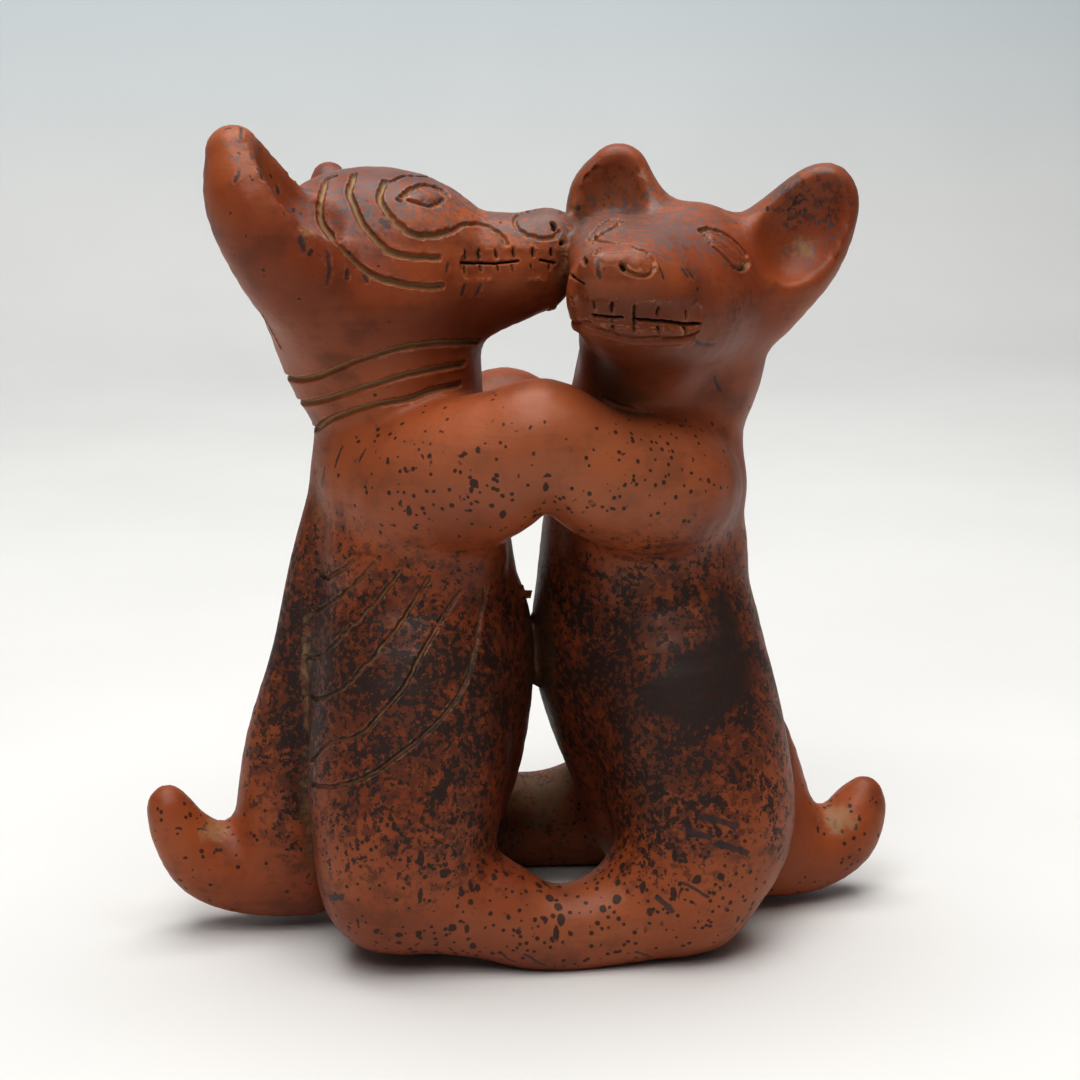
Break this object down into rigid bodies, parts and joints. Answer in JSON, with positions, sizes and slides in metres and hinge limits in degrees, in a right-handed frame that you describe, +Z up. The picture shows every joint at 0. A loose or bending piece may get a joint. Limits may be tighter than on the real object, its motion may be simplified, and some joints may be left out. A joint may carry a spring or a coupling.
{
  "type": "colima dog figure",
  "caption": "Burnished redware figure of dogs that stand on their hind legs and embrace, with incised rings, collars and ribs.",
  "frame": {"origin": "on the floor under the middle of the pair's bounding box", "axes": "+Z up, +X from the dog seen in profile to the dog that faces out, -Y the front, where the turned head looks"},
  "size_m": [0.1986, 0.1074, 0.2098],
  "materials": {
    "redware": "burnished satin"
  },
  "bodies": {
    "root": {"embracing_dogs": "redware"}
  },
  "joints": []
}
